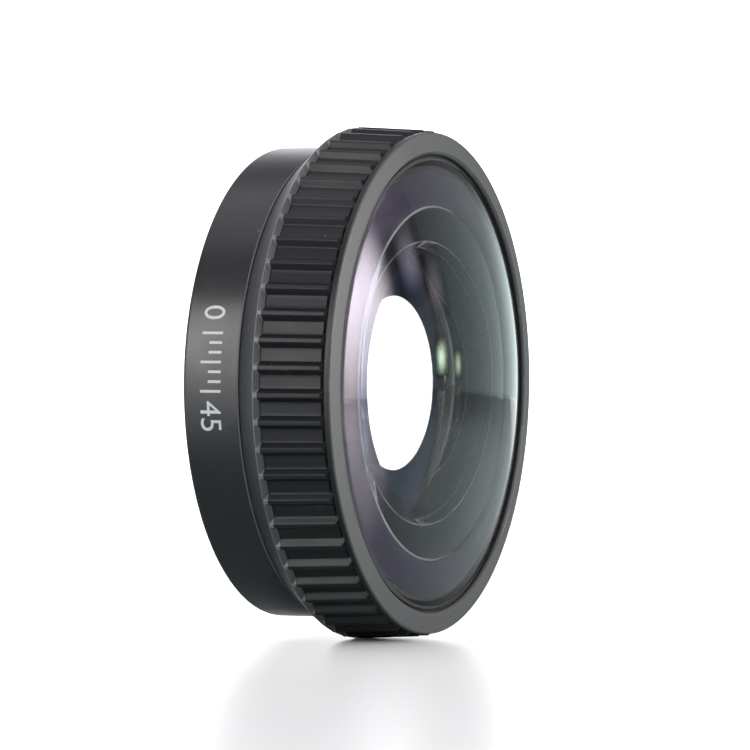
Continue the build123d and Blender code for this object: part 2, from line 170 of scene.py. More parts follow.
def effect_group(name, numbers, outputs):
    # An empty node group with named number inputs and number outputs
    tree = bpy.data.node_groups.new(name, "ShaderNodeTree")
    for label, start in numbers.items():
        socket = tree.interface.new_socket(name=label, in_out="INPUT", socket_type="NodeSocketFloat")
        socket.default_value = start
    for label in outputs:
        tree.interface.new_socket(name=label, in_out="OUTPUT", socket_type="NodeSocketFloat")
    return tree, tree.nodes.new("NodeGroupInput"), tree.nodes.new("NodeGroupOutput")


# Blasted grain: fine pits and slow clouds, sizes in millimetres
grain_group, grain_in, grain_out = effect_group(
    "blasted_grain", {"Pit Size": 0.1, "Cloud Size": 4.0}, ("Grain", "Clouds"))
place = node(grain_group, "ShaderNodeTexCoord").outputs["Object"]
for size, result, detail in (("Pit Size", "Grain", 3.0), ("Cloud Size", "Clouds", 2.0)):
    scale = texture_scale(grain_group, grain_in.outputs[size])
    speckle = node(grain_group, "ShaderNodeTexNoise", Vector=place, Scale=scale, Detail=detail)
    grain_group.links.new(speckle.outputs["Fac"], grain_out.inputs[result])

# Turning marks: fine rings about the optical axis, as a lathe tool leaves them
marks_group, marks_in, marks_out = effect_group("turning_marks", {"Spacing": 0.08}, ("Marks",))
place = node(marks_group, "ShaderNodeTexCoord").outputs["Object"]
split = node(marks_group, "ShaderNodeSeparateXYZ", Vector=place)
flat = node(marks_group, "ShaderNodeCombineXYZ", X=split.outputs["X"], Z=split.outputs["Z"])
reach = node(marks_group, "ShaderNodeVectorMath", {"operation": "LENGTH"}, i0=flat.outputs[0])
track = node(marks_group, "ShaderNodeCombineXYZ", X=reach.outputs["Value"], Y=split.outputs["Y"])
scale = texture_scale(marks_group, marks_in.outputs["Spacing"])
rings = node(marks_group, "ShaderNodeTexNoise", Vector=track.outputs[0], Scale=scale, Detail=1.0)
marks_group.links.new(rings.outputs["Fac"], marks_out.inputs["Marks"])

# Edge wear: where the surface is convex, broken up by a coarse noise
wear_group, wear_in, wear_out = effect_group("edge_wear", {"Reach": 0.06, "Patch Size": 0.8}, ("Worn",))
sharpness = node(wear_group, "ShaderNodeNewGeometry").outputs["Pointiness"]
hardly_convex = 0.53
sharpest = maths(wear_group, "ADD", wear_in.outputs["Reach"], hardly_convex)
convex = span(wear_group, sharpness, hardly_convex, sharpest)
place = node(wear_group, "ShaderNodeTexCoord").outputs["Object"]
scale = texture_scale(wear_group, wear_in.outputs["Patch Size"])
patches = node(wear_group, "ShaderNodeTexNoise", Vector=place, Scale=scale, Detail=4.0)
patch_edge, patch_full = 0.4, 0.65
patchy = span(wear_group, patches.outputs["Fac"], patch_edge, patch_full)
worn = maths(wear_group, "MULTIPLY", convex, patchy)
wear_group.links.new(worn, wear_out.inputs["Worn"])

# Dust: sparse pale specks, more of them on faces that look up
dust_group, dust_in, dust_out = effect_group("dust_specks", {"Spacing": 1.6, "Speck": 0.03}, ("Dust",))
place = node(dust_group, "ShaderNodeTexCoord").outputs["Object"]
scale = texture_scale(dust_group, dust_in.outputs["Spacing"])
cells = node(dust_group, "ShaderNodeTexVoronoi", Vector=place, Scale=scale)
near = maths(dust_group, "LESS_THAN", cells.outputs["Distance"], dust_in.outputs["Speck"])
surface = node(dust_group, "ShaderNodeNewGeometry")
facing = node(dust_group, "ShaderNodeSeparateXYZ", Vector=surface.outputs["Normal"])
clean_tilt, dusty_tilt = -0.6, 0.9
upward = span(dust_group, facing.outputs["Z"], clean_tilt, dusty_tilt)
specks = maths(dust_group, "MULTIPLY", near, upward)
dust_group.links.new(specks, dust_out.inputs["Dust"])


def blend_colour(tree, share, first, second):
    mixed = node(tree, "ShaderNodeMix", {"data_type": "RGBA"}, i0=share, i6=first, i7=second)
    return mixed.outputs[2]


def bare_material(name):
    # A material whose nodes are still to be made
    material = bpy.data.materials.new(name)
    material.use_nodes = True
    material.node_tree.nodes.clear()
    return material, material.node_tree


def show_surface(tree, shader):
    target = node(tree, "ShaderNodeOutputMaterial")
    tree.links.new(shader.outputs[0], target.inputs["Surface"])


dust_colour = (0.35, 0.34, 0.33, 1)
worn_colour = (0.2, 0.2, 0.21, 1)
few_clouds, many_clouds = 0.3, 0.7
gloss_change = 0.04
grain_strength = 0.35
marks_strength = 0.5


def coated_metal(name, dark, light, roughness, pit, pit_height=0.004, marks=0.0, spacing=0.08,
                 metallic=0.0, level=0.5, wear=0.5):
    # Painted, anodised or bare metal, or ground glass: clouded colour, pale worn edges, and grain
    # and turning marks in the relief; pit, pit_height, marks and spacing are in millimetres
    material, tree = bare_material(name)
    shader = node(tree, "ShaderNodeBsdfPrincipled", Metallic=metallic)
    shader.inputs["Specular IOR Level"].default_value = level
    grain = node(tree, "ShaderNodeGroup", {"node_tree": grain_group})
    grain.inputs["Pit Size"].default_value = pit
    worn = node(tree, "ShaderNodeGroup", {"node_tree": wear_group})
    dust = node(tree, "ShaderNodeGroup", {"node_tree": dust_group})
    colour = blend_colour(tree, grain.outputs["Clouds"], dark, light)
    share = maths(tree, "MULTIPLY", worn.outputs["Worn"], wear)
    colour = blend_colour(tree, share, colour, worn_colour)
    colour = blend_colour(tree, dust.outputs["Dust"], colour, dust_colour)
    tree.links.new(colour, shader.inputs["Base Color"])
    gloss = span(tree, grain.outputs["Clouds"], few_clouds, many_clouds,
                 roughness - gloss_change, roughness + gloss_change)
    tree.links.new(gloss, shader.inputs["Roughness"])
    relief = node(tree, "ShaderNodeBump", Strength=grain_strength, Distance=pit_height / per_metre,
                  Height=grain.outputs["Grain"])
    if marks:
        turning = node(tree, "ShaderNodeGroup", {"node_tree": marks_group})
        turning.inputs["Spacing"].default_value = spacing
        relief = node(tree, "ShaderNodeBump", Strength=marks_strength, Distance=marks / per_metre,
                      Height=turning.outputs["Marks"], Normal=relief.outputs[0])
    tree.links.new(relief.outputs[0], shader.inputs["Normal"])
    show_surface(tree, shader)
    return material


anodised_black = coated_metal("anodised_black", (0.014, 0.015, 0.017, 1), (0.019, 0.020, 0.023, 1),
                              roughness=0.30, pit=0.07, wear=0.25)
# Pale grey finish: a painted highlight where an edge or a ramp catches the light
painted_highlight_metal = coated_metal("painted_highlight_metal", (0.15, 0.15, 0.155, 1), (0.24, 0.24, 0.245, 1),
                            roughness=0.38, pit=0.06, wear=0.3)
plain, painted_highlight = range(2)
bore_radius = 16.5
bore_length = 2.4
relief_radius = 16.72
groove_radius = 17.4
groove_depth = 4.85
neck_radius = 18.0
neck_front = 8.95
skirt_radius = 18.5
skirt_length = 4.66
# The skirt's eased front edge takes the pale finish, a painted highlight along that edge
skirt = turned("base_skirt", eased([
    (bore_radius, 0.0, 0.08, plain),
    (skirt_radius, 0.0, 0.2, plain),
    (skirt_radius, skirt_length, 0.11, painted_highlight),
    (neck_radius, skirt_length, 0.03, plain),
    (neck_radius, neck_front, 0.03, plain),
    (groove_radius, neck_front, 0.03, plain),
    (groove_radius, groove_depth, 0.02, plain),
    (relief_radius, groove_depth, 0.03, plain),
    (relief_radius, bore_length, 0.02, plain),
    (bore_radius, bore_length, 0.02, plain),
]), [anodised_black, painted_highlight_metal])
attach(skirt, "lens")
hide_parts("base_ring")


# Detent: a steel ball pressed by a small coil out of a blind hole in the base.
# It clicks into hollows of the lock ring at both ends of the turn; both are ground spring steel.
bright_steel = coated_metal("bright_steel", (0.52, 0.52, 0.53, 1), (0.62, 0.62, 0.63, 1),
                            roughness=0.22, pit=0.05, pit_height=0.001, metallic=1.0, wear=0.0)


def dress(name, finish):
    # Gives a node of the frame its finish and leaves its shape as it is
    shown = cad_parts[name]
    shown.data.materials.clear()
    shown.data.materials.append(finish)


dress("detent_ball", bright_steel)
dress("detent_spring", bright_steel)


# Lock ring: the bayonet, a blackened steel ring with three inward lugs, turned by the collar.
# Three ground pins are pressed through it into the collar and run in the slots of the base.
dark_steel = coated_metal("dark_steel", (0.07, 0.07, 0.075, 1), (0.11, 0.11, 0.115, 1),
                          roughness=0.34, pit=0.06, marks=0.003, metallic=1.0, wear=0.0)
dress("lock_ring", dark_steel)
dress("drive_pins", bright_steel)


# Lens barrel: turned aluminium in dead matt black, pinned inside the base by three headless screws.
# A round rubber seal lies in its groove, and its front flange is the seat of the front glass.
barrel_black = coated_metal("barrel_black", (0.008, 0.008, 0.009, 1), (0.013, 0.013, 0.014, 1),
                            roughness=0.62, pit=0.09, marks=0.012, spacing=0.2, wear=0.0)
slip_fit = 0.02
barrel_radius = groove_radius - slip_fit
barrel_rear = 6.83
flange_radius = 17.88
flange_front = 11.355
hood_bore_radius = 16.25
hood_seat = 9.65
second_bore_radius = 13.67
spacer_seat = 7.975
web_radius = 10.34
barrel = turned("barrel_body", eased([
    (barrel_radius, barrel_rear, 0.05, plain),
    (barrel_radius, neck_front, 0.0, plain),
    (flange_radius, neck_front, 0.04, plain),
    (flange_radius, flange_front, 0.04, plain),
    (hood_bore_radius, flange_front, 0.05, plain),
    (hood_bore_radius, hood_seat, 0.0, plain),
    (second_bore_radius, hood_seat, 0.04, plain),
    (second_bore_radius, spacer_seat, 0.0, plain),
    (web_radius, spacer_seat, 0.06, plain),
    (web_radius, barrel_rear, 0.04, plain),
]), [barrel_black])
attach(barrel, "lens")
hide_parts("lens_barrel")
dress("set_screws", dark_steel)


def moulded(name, dark, light, roughness, pit, level=0.4):
    # Plastic, rubber or ink: no metal under it, coarser grain, no worn edges
    return coated_metal(name, dark, light, roughness, pit=pit, pit_height=0.01, wear=0.0, level=level)


black_rubber = moulded("black_rubber", (0.014, 0.014, 0.015, 1), (0.022, 0.022, 0.023, 1),
                       roughness=0.72, pit=0.12, level=0.3)
dress("barrel_seal", black_rubber)


# Rear cell: the turned tube that carries the cemented pair, screwed through the cover into the web.
# A flange half-way stops it at the cover, and its front lip stops the glass.
cell_radius = web_radius - slip_fit
cell_bore_radius = 9.42
cell_rear = 2.856
cell_shoulder = 8.075
cell_flange_radius = 10.92
cell_flange_rear, cell_flange_front = 5.93, 6.33
lip_radius = 9.20
lip_rear, lip_foot, lip_front = 8.84, 8.87, 9.067
cell = turned("cell_tube", eased([
    (cell_radius, cell_rear, 0.06, plain),
    (cell_radius, cell_flange_rear, 0.0, plain),
    (cell_flange_radius, cell_flange_rear, 0.05, plain),
    (cell_flange_radius, cell_flange_front, 0.0, plain),
    (cell_radius, cell_flange_front, 0.0, plain),
    (cell_radius, cell_shoulder, 0.05, plain),
    (cell_bore_radius, lip_front, 0.04, plain),
    (lip_radius, lip_front, 0.03, plain),
    (lip_radius, lip_foot, 0.0, plain),
    (cell_bore_radius, lip_rear, 0.0, plain),
    (cell_bore_radius, cell_rear, 0.05, plain),
]), [barrel_black])
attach(cell, "lens")
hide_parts("rear_cell")


# Rear pair: a crown and a flint element cemented on a steep common curve.
# Both are polished and coated; their ground edges carry black paint against flare.
def sag(curve, radius):
    # Height that a spherical face loses from its apex out to a radius
    return curve - sqrt(curve**2 - radius**2)


def dome(apex, curve, first, last, finish, count=40):
    # Points along a spherical face that bulges to the front, from one radius to another
    radii = [first + (last - first) * k / count for k in range(count + 1)]
    return [(radius, apex - sag(curve, radius), finish) for radius in radii]


def bulge_back(apex, curve, first, last, finish):
    # The same for a face that bulges to the rear
    return [(radius, 2 * apex - depth, finish)
            for radius, depth, finish in dome(apex, curve, first, last, finish)]


speck_on_glass = 0.012
clear_colour = (1, 1, 1, 1)
speck_colour = (0.8, 0.8, 0.8, 1)
best_polish, least_polish = 0.0, 0.004
clear_spot, dull_spot = 0.2, 0.8


def polished(name, film, film_index=1.25, index=1.5):
    # Polished glass; its coating is a thin film, in nanometres, that tints the faint reflection
    material, tree = bare_material(name)
    shader = node(tree, "ShaderNodeBsdfPrincipled", Metallic=0.0, Roughness=0.0, IOR=index)
    shader.inputs["Transmission Weight"].default_value = 1.0
    shader.inputs["Thin Film Thickness"].default_value = film
    shader.inputs["Thin Film IOR"].default_value = film_index
    dust = node(tree, "ShaderNodeGroup", {"node_tree": dust_group})
    dust.inputs["Speck"].default_value = speck_on_glass
    colour = blend_colour(tree, dust.outputs["Dust"], clear_colour, speck_colour)
    tree.links.new(colour, shader.inputs["Base Color"])
    grain = node(tree, "ShaderNodeGroup", {"node_tree": grain_group})
    gloss = span(tree, grain.outputs["Clouds"], clear_spot, dull_spot, best_polish, least_polish)
    tree.links.new(gloss, shader.inputs["Roughness"])
    show_surface(tree, shader)
    return material


green_coated = polished("green_coated_glass", film=232.0)
dark_coated = polished("dark_coated_glass", film=158.0, film_index=1.38)
cemented_face = polished("cemented_face", film=0.0, index=1.01)
edge_paint = coated_metal("edge_paint", (0.006, 0.006, 0.006, 1), (0.01, 0.01, 0.01, 1),
                          roughness=0.7, pit=0.12, wear=0.0)
air_face, painted_rim, joined_face = range(3)
pair_radius = 9.4
crown_apex, crown_curve = 9.556, 60.0
crown_rim = 8.815
joint_curve = 18.0
crown_joint, flint_joint = 5.757, 5.755
flint_rear = 3.756
crown = turned("crown_glass",
    dome(crown_apex, crown_curve, 0.0, pair_radius, air_face)[:-1]
    + [(pair_radius, crown_rim, painted_rim)]
    + bulge_back(crown_joint, joint_curve, pair_radius, 0.0, joined_face),
    [green_coated, edge_paint, cemented_face])
flint = turned("flint_glass",
    bulge_back(flint_joint, joint_curve, 0.0, pair_radius, joined_face)[:-1]
    + [(pair_radius, flint_joint + sag(joint_curve, pair_radius), painted_rim)]
    + [(pair_radius, flint_rear, air_face), (0.0, flint_rear, air_face)],
    [green_coated, edge_paint, cemented_face])
for glass, replaced in ((crown, "crown_element"), (flint, "flint_element")):
    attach(glass, "lens")
    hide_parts(replaced)


# Mask and retainer: a thin black stop that sets the clear opening, held by a threaded ring.
# The ring is closed with a spanner in two slots across its rear face.
dress("rear_mask", barrel_black)
dress("rear_retainer", barrel_black)


# Second element: a meniscus with a deep rear bowl and a flat rim round it, black at its edge.
# Its two narrow bevels are frosted; they show as thin bright arcs round the inside of the lens.
ground_glass = coated_metal("ground_glass", (0.74, 0.78, 0.78, 1), (0.86, 0.90, 0.90, 1),
                            roughness=0.42, pit=0.05, pit_height=0.006, wear=0.0)
bowl_face, frosted_bevel, painted_edge, second_face = range(4)
second_radius = second_bore_radius - slip_fit
second_bevel = 0.25
second_apex, second_curve = 13.701, 48.0
second_edge = 11.793
second_rear = 8.775
bowl_apex, bowl_curve = 11.601, 20.0
bowl_radius, bowl_mouth_radius = 10.20, 10.29
meniscus = turned("meniscus_glass",
    dome(second_apex, second_curve, 0.0, second_radius - second_bevel, second_face)[:-1]
    + [(second_radius - second_bevel, second_edge, frosted_bevel)]
    + [(second_radius, second_edge - second_bevel, painted_edge)]
    + [(second_radius, second_rear, painted_edge), (bowl_mouth_radius, second_rear, frosted_bevel)]
    + dome(bowl_apex, bowl_curve, bowl_radius, 0.0, bowl_face),
    [green_coated, ground_glass, edge_paint, dark_coated])
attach(meniscus, "lens")
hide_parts("second_element")
dress("spacer_ring", barrel_black)


# Hood ring: a dished black ring screwed over the rim of the second element.
# Its satin face is dished a little flatter than the front glass, down to a sharp mouth; its violet-black
# colour is a painted reflection of the violet coating in front of it.
hood_violet_reflection = coated_metal("hood_violet_reflection", (0.022, 0.012, 0.070, 1), (0.030, 0.018, 0.084, 1),
                          roughness=0.38, pit=0.06, marks=0.002, spacing=0.1, wear=0.2)
satin_dish, matt_back = range(2)
hood_radius = hood_bore_radius - slip_fit
dish_apex, dish_curve = 13.167, 73.0
dish_radius = 13.95
mouth_radius = 13.55
mouth_front, mouth_rear = 11.731, 11.681
pocket_front = 11.561
hood = turned("hood_dish",
    dome(dish_apex, dish_curve, hood_radius, dish_radius, satin_dish, count=10)
    + [(mouth_radius, mouth_front, matt_back), (mouth_radius, mouth_rear, matt_back)]
    + [(second_bore_radius, pocket_front, matt_back), (second_bore_radius, hood_seat, matt_back)]
    + [(hood_radius, hood_seat, matt_back)],
    [hood_violet_reflection, barrel_black])
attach(hood, "lens")
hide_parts("hood_ring")


# Ribbed collar: the grip, milled from the same black aluminium, with sixty flutes between sharp ribs.
# Each flute has a ramp up at its rear end and a slope down in front; a smooth flare leads to the base.
# Its colour is a darker copy of the base's anodising: painted shade over the grip
ribbed_black = coated_metal("ribbed_black", (0.010, 0.011, 0.013, 1), (0.015, 0.016, 0.019, 1),
                            roughness=0.40, pit=0.06, level=0.35, wear=0.08)
rib_count = 60
grip_radius = 20.1
crest_width = 0.30
flute_depth = 0.5
pitch = 2 * pi * grip_radius / rib_count
half_crest_gap = (pitch - crest_width) / 2
flank_slope = tan(radians(52))
half_floor = half_crest_gap - flute_depth / flank_slope
collar_rear, collar_front = 4.70, 12.20
flare_rear, flare_front = 4.77, 6.55
flare_radius = 20.03
crest_rear, crest_front = 6.62, 12.0
crest_fall = 0.3
ramp_front, ramp_run = 7.0, 0.9
slope_rear = 11.90


def soft_least(a, b, ease):
    # The lesser of two heights, with the corner between them eased
    blend = max(ease - abs(a - b), 0) / ease
    return min(a, b) - blend * blend * ease / 4


def crest_line(depth):
    # The crests fall a little towards the front
    return grip_radius - crest_fall * (depth - crest_rear) / (crest_front - crest_rear)


def collar_body(depth):
    # Radius of the collar before the flutes are cut
    if depth < flare_front:
        rise = (flare_radius - skirt_radius) / (flare_front - flare_rear)
        return skirt_radius + rise * max(depth - flare_rear, 0)
    if depth < crest_rear:
        return flare_radius + (depth - flare_front)
    return crest_line(depth) - max(depth - crest_front, 0)


root_ease, crest_ease, rear_ease = 0.06, 0.05, 0.07


def collar_point(depth, along, turn):
    # Height of the flute's floor, ramp or flank, eased into the crest
    bottom = crest_line(depth) - flute_depth
    floor = bottom + max(ramp_front - depth, 0) / ramp_run - max(depth - slope_rear, 0)
    flank = bottom + (abs(along) - half_floor) * flank_slope
    cut = -soft_least(-floor, -flank, root_ease)
    crest = sqrt(max(collar_body(depth) ** 2 - along**2, 0))
    height = soft_least(cut, crest, crest_ease)
    return around_axis(sqrt(height**2 + along**2), depth, turn + atan2(along, height))


def spread(*spans):
    # Values between bounds, as (start, end, count) runs
    values = []
    for start, end, count in spans:
        values += [start + (end - start) * k / count for k in range(count)]
    return values


root_band, crest_band = 0.04, 0.05
across = spread(
    (0.0, half_floor - root_band, 2), (half_floor - root_band, half_floor + root_band, 3),
    (half_floor + root_band, half_crest_gap - crest_band, 4),
    (half_crest_gap - crest_band, half_crest_gap + crest_band, 4),
    (half_crest_gap + crest_band, pitch / 2, 1))
across = [-pitch / 2] + [-a for a in reversed(across[1:])] + across
# The rows lie close together where the ramps rise and where the flutes run out in front
edge_end, ramp_start, ramp_end, runout_start = 4.78, 6.20, 7.10, 11.80
along_collar = spread(
    (collar_rear, edge_end, 2), (edge_end, ramp_start, 5), (ramp_start, ramp_end, 18),
    (ramp_end, runout_start, 8), (runout_start, collar_front, 8)) + [collar_front]
form = bmesh.new()
rows = []
for depth in along_collar:
    easing = rear_ease * max(1 - (depth - collar_rear) / rear_ease, 0)
    row = []
    for rib in range(rib_count):
        for along in across:
            point = collar_point(depth, along, 2 * pi * rib / rib_count)
            reach = sqrt(point.x**2 + point.z**2)
            shrink = (reach - easing / per_metre) / reach
            row.append(form.verts.new((point.x * shrink, point.y, point.z * shrink)))
    rows.append(row)
shoulder_bore, neck_bore = 18.55, 18.05
inside = ((shoulder_bore, collar_front), (shoulder_bore, neck_front),
          (neck_bore, neck_front), (neck_bore, collar_rear))
for radius, depth in inside:
    rows.append([form.verts.new(around_axis(radius, depth, atan2(v.co.x, v.co.z))) for v in rows[0]])
# Rows across the rising rear ramps, crest ends included, take the pale finish as a painted highlight
highlight_start, highlight_end = 6.53, 6.93
for i, row in enumerate(rows):
    following = rows[(i + 1) % len(rows)]
    finish = plain
    if i + 1 < len(along_collar) and highlight_start < (along_collar[i] + along_collar[i + 1]) / 2 < highlight_end:
        finish = painted_highlight
    for k in range(len(row)):
        n = (k + 1) % len(row)
        form.faces.new((row[k], row[n], following[n], following[k])).material_index = finish
bmesh.ops.recalc_face_normals(form, faces=form.faces)
collar = piece("ribbed_collar", form, [ribbed_black, painted_highlight_metal], crease=40)
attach(collar, "collar")
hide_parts("grip_ring")


# Slide washer: a thin plastic ring between the collar's inner shoulder and the bezel's tail.
# It is plain off-white stock that needs no oil.
slide_plastic = moulded("slide_plastic", (0.62, 0.61, 0.56, 1), (0.7, 0.69, 0.64, 1),
                        roughness=0.5, pit=0.2)
dress("bezel_washer", slide_plastic)


# Front bezel: the narrow flat ring round the front glass, screwed over the barrel's flange.
# Its face is blasted black anodising, coloured dark grey as a painted sheen of the bright surroundings;
# its rim and its tail are black like the ribs.
bezel_sheen_grey = coated_metal("bezel_sheen_grey", (0.077, 0.081, 0.083, 1), (0.089, 0.094, 0.096, 1),
                           roughness=0.44, pit=0.05, marks=0.002, spacing=0.06)
sheen_face, black_rim = range(2)
bezel_bore_radius = 17.9
tail_radius = 18.5
tail_rear = 9.22
bezel_radius = 19.6
bezel_rear, bezel_side_front, bezel_front = 12.26, 12.66, 12.98
outer_bevel, inner_bevel = 0.1, 0.2
bezel = turned("front_bezel_ring", eased([
    (bezel_bore_radius, tail_rear, 0.03, black_rim),
    (tail_radius, tail_rear, 0.03, black_rim),
    (tail_radius, bezel_rear, 0.0, black_rim),
    (bezel_radius, bezel_rear, 0.04, black_rim),
    (bezel_radius, bezel_side_front, 0.03, sheen_face),
    (bezel_radius - outer_bevel, bezel_side_front + outer_bevel, 0.04, sheen_face),
    (bezel_bore_radius + inner_bevel, bezel_front, 0.05, sheen_face),
    (bezel_bore_radius, bezel_front - inner_bevel, 0.04, sheen_face),
]), [bezel_sheen_grey, ribbed_black])
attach(bezel, "lens")
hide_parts("front_bezel")


# Bead: a thin ring of black sealant between the edge of the front glass and the bezel.
# It is slightly hollow where it was wiped, and darker than anything round it.
bead_bore_radius, bead_radius = 17.67, 17.88
bead_rear = 11.36
outer_lip, inner_lip = 12.56, 12.55
wiped_hollow = [(17.83, 12.51, plain), (17.78, 12.49, plain), (17.72, 12.51, plain)]
bead = turned("front_bead",
    [(bead_bore_radius, bead_rear, plain), (bead_radius, bead_rear, plain)]
    + [(bead_radius, outer_lip, plain)] + wiped_hollow + [(bead_bore_radius, inner_lip, plain)],
    [black_rubber])
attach(bead, "lens")
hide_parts("front_seal")


# Front element: the domed glass, polished and coated, with a narrow frosted bevel at its edge.
# It sits on the barrel's flange and is the widest glass of the lens.
violet_coated = polished("violet_coated_glass", film=118.0, film_index=1.38)
dull_bevel = coated_metal("dull_bevel", (0.09, 0.095, 0.10, 1), (0.13, 0.135, 0.14, 1),
                          roughness=0.45, pit=0.05, pit_height=0.004, wear=0.0)
outer_face, front_bevel, dark_edge, inner_face = range(4)
outer_apex, outer_curve = 15.980, 49.0
inner_apex, inner_curve = 13.991, 54.0
dome_radius, front_radius = 17.43, 17.65
bevel_front, bevel_rear = 12.776, 12.616
front_seat = 11.36
seat_radius = 16.65
front = turned("front_dome",
    dome(outer_apex, outer_curve, 0.0, dome_radius, outer_face, count=60)[:-1]
    + [(dome_radius, bevel_front, front_bevel), (front_radius, bevel_rear, dark_edge)]
    + [(front_radius, front_seat, dark_edge), (seat_radius, front_seat, inner_face)]
    + dome(inner_apex, inner_curve, seat_radius, 0.0, inner_face, count=60)[1:],
    [violet_coated, dull_bevel, edge_paint, dark_coated])
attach(front, "lens")
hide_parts("front_element")


# Rear cover: the moulded plate round the cell, held by four countersunk screws.
# A soft round-crowned gasket lies in its groove and seals on the camera's boss.
rear_plastic = moulded("rear_plastic", (0.018, 0.018, 0.019, 1), (0.026, 0.026, 0.027, 1),
                       roughness=0.55, pit=0.15)
dress("rear_cover", rear_plastic)
dress("cover_screws", dark_steel)
dress("rear_gasket", black_rubber)


# Turning scale: printed in white on the skirt, where the collar's turn is read.
# It stands in for the print of the real one: plain ticks with the numbers of the two ends.
white_ink = moulded("white_ink", (0.70, 0.70, 0.70, 1), (0.80, 0.80, 0.80, 1), roughness=0.5, pit=0.08)
form = bmesh.new()
ink_height = 0.005
scale_radius = skirt_radius + ink_height
least_bend = radians(0.5)


def printed(turn_start, turn_end, rear, front):
    # One patch of ink, following the skirt
    steps = max(2, int((turn_end - turn_start) / least_bend))
    edges = []
    for k in range(steps + 1):
        turn = turn_start + (turn_end - turn_start) * k / steps
        edges.append([form.verts.new(around_axis(scale_radius, depth, turn)) for depth in (rear, front)])
    for (a, b), (c, d) in zip(edges, edges[1:]):
        form.faces.new((a, b, d, c))


digit_share = 0.7
cut_count, cut_width = 29, 0.12


def printed_number(number, turn_start, rear, tall):
    # A plain number whose foot is towards the rear, read downwards; it is cut fine to follow the skirt.
    # A digit stands as tall as a share of the size that its font is set to.
    lettering = bpy.data.curves.new("number", "FONT")
    lettering.body, lettering.size = number, tall / digit_share
    holder = bpy.data.objects.new("number", lettering)
    bpy.context.scene.collection.objects.link(holder)
    flat = bpy.data.meshes.new_from_object(holder)
    sheet = bmesh.new()
    sheet.from_mesh(flat)
    for cut in range(1, cut_count + 1):
        bmesh.ops.bisect_plane(sheet, geom=sheet.verts[:] + sheet.edges[:] + sheet.faces[:],
                               plane_co=(cut * cut_width, 0, 0), plane_no=(1, 0, 0))
    placed = {}
    for v in sheet.verts:
        turn = turn_start - v.co.x / scale_radius
        placed[v] = form.verts.new(around_axis(scale_radius, rear + v.co.y, turn))
    for face in sheet.faces:
        form.faces.new([placed[v] for v in face.verts])
    sheet.free()
    bpy.data.objects.remove(holder)
    bpy.data.curves.remove(lettering)
    bpy.data.meshes.remove(flat)


# Turns are in degrees here; the scale lies on the side that the camera sees
scale_side = -90
zero_turn, end_turn = scale_side + 18.3, scale_side - 4.6
number_rear, number_height = 1.45, 1.73
tick_count = 7
first_tick, tick_step = scale_side + 11.4, 2.3
half_tick = radians(0.32)
long_rear, short_rear, tick_front = 1.45, 2.1, 3.18
printed_number("0", radians(zero_turn), number_rear, number_height)
for k in range(tick_count):
    middle = radians(first_tick - tick_step * k)
    printed(middle - half_tick, middle + half_tick, long_rear if k % 3 == 0 else short_rear, tick_front)
printed_number("45", radians(end_turn), number_rear, number_height)
ink = piece("turning_scale", form, [white_ink])
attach(ink, "lens")


# Studio: a pale floor that mirrors softly, white surroundings and soft panels of light.
# The camera sees white; what the lens reflects and refracts is dimmer and faintly tinted.
pure_white = (1.0, 1.0, 1.0, 1)
floor_white = (0.81, 0.81, 0.81, 1)
table_far, table_near = (0.08, 0.09, 0.10, 1), (0.33, 0.40, 0.39, 1)
backdrop_start, backdrop_end = 0.015, 0.06
table_start, table_end = -0.30, -0.05
near_lift, far_lift, far_away = 0.31, 1.1, 0.3
contact_shadow_reach = 0.028
floor_material, tree = bare_material("studio_floor")
shader = node(tree, "ShaderNodeBsdfPrincipled", Roughness=0.24)
shader.inputs["Specular IOR Level"].default_value = 0.22
glow = node(tree, "ShaderNodeEmission", Color=pure_white)
rays = node(tree, "ShaderNodeLightPath")
place = node(tree, "ShaderNodeSeparateXYZ", Vector=node(tree, "ShaderNodeTexCoord").outputs["Object"])
behind = span(tree, place.outputs["Y"], backdrop_start, backdrop_end)
seen = maths(tree, "MAXIMUM", rays.outputs["Is Camera Ray"], behind)
near = span(tree, place.outputs["Y"], table_start, table_end)
table = blend_colour(tree, near, table_far, table_near)
white = blend_colour(tree, seen, table, floor_white)
tree.links.new(white, shader.inputs["Base Color"])
lift = span(tree, place.outputs["Y"], 0.0, far_away, low=near_lift, high=far_lift)
lift = maths(tree, "MULTIPLY", seen, lift)
# The floor's glow fades by ambient occlusion where the lens stands close above it: a painted contact
# shadow
painted_contact_shadow = node(tree, "ShaderNodeAmbientOcclusion", {"samples": 16}, Distance=contact_shadow_reach)
lift = maths(tree, "MULTIPLY", lift, painted_contact_shadow.outputs["AO"])
tree.links.new(lift, glow.inputs["Strength"])
show_surface(tree, node(tree, "ShaderNodeAddShader", i0=shader.outputs[0], i1=glow.outputs[0]))


def rectangle(width, height, level=0.0):
    # A flat form about the origin, in metres
    form = bmesh.new()
    for x, y in ((-0.5, -0.5), (0.5, -0.5), (0.5, 0.5), (-0.5, 0.5)):
        form.verts.new((x * width, y * height, level))
    form.faces.new(form.verts)
    return form


floor_side = 4.0
floor_height = cad_box[0][2]
floor = piece("studio_floor", rectangle(floor_side, floor_side, floor_height), [floor_material])

# World: strength and tint follow the angle to a bright side behind the lens
world = bpy.data.worlds.new("studio")
bpy.context.scene.world = world
world.use_nodes = True
tree = world.node_tree
tree.nodes.clear()
bright_side = (0.55, 0.83, 0.0)
violet_tint, cyan_tint, high_tint = (0.95, 0.88, 1.0, 1), (0.82, 1.0, 0.98, 1), (0.95, 0.90, 1.0, 1)
cyan_stops, white_stop = (0.25, 0.75), 0.92
dim_glow, bright_glow = 0.18, 0.32
mirrored_strength, through_strength = 1.85, 1.2
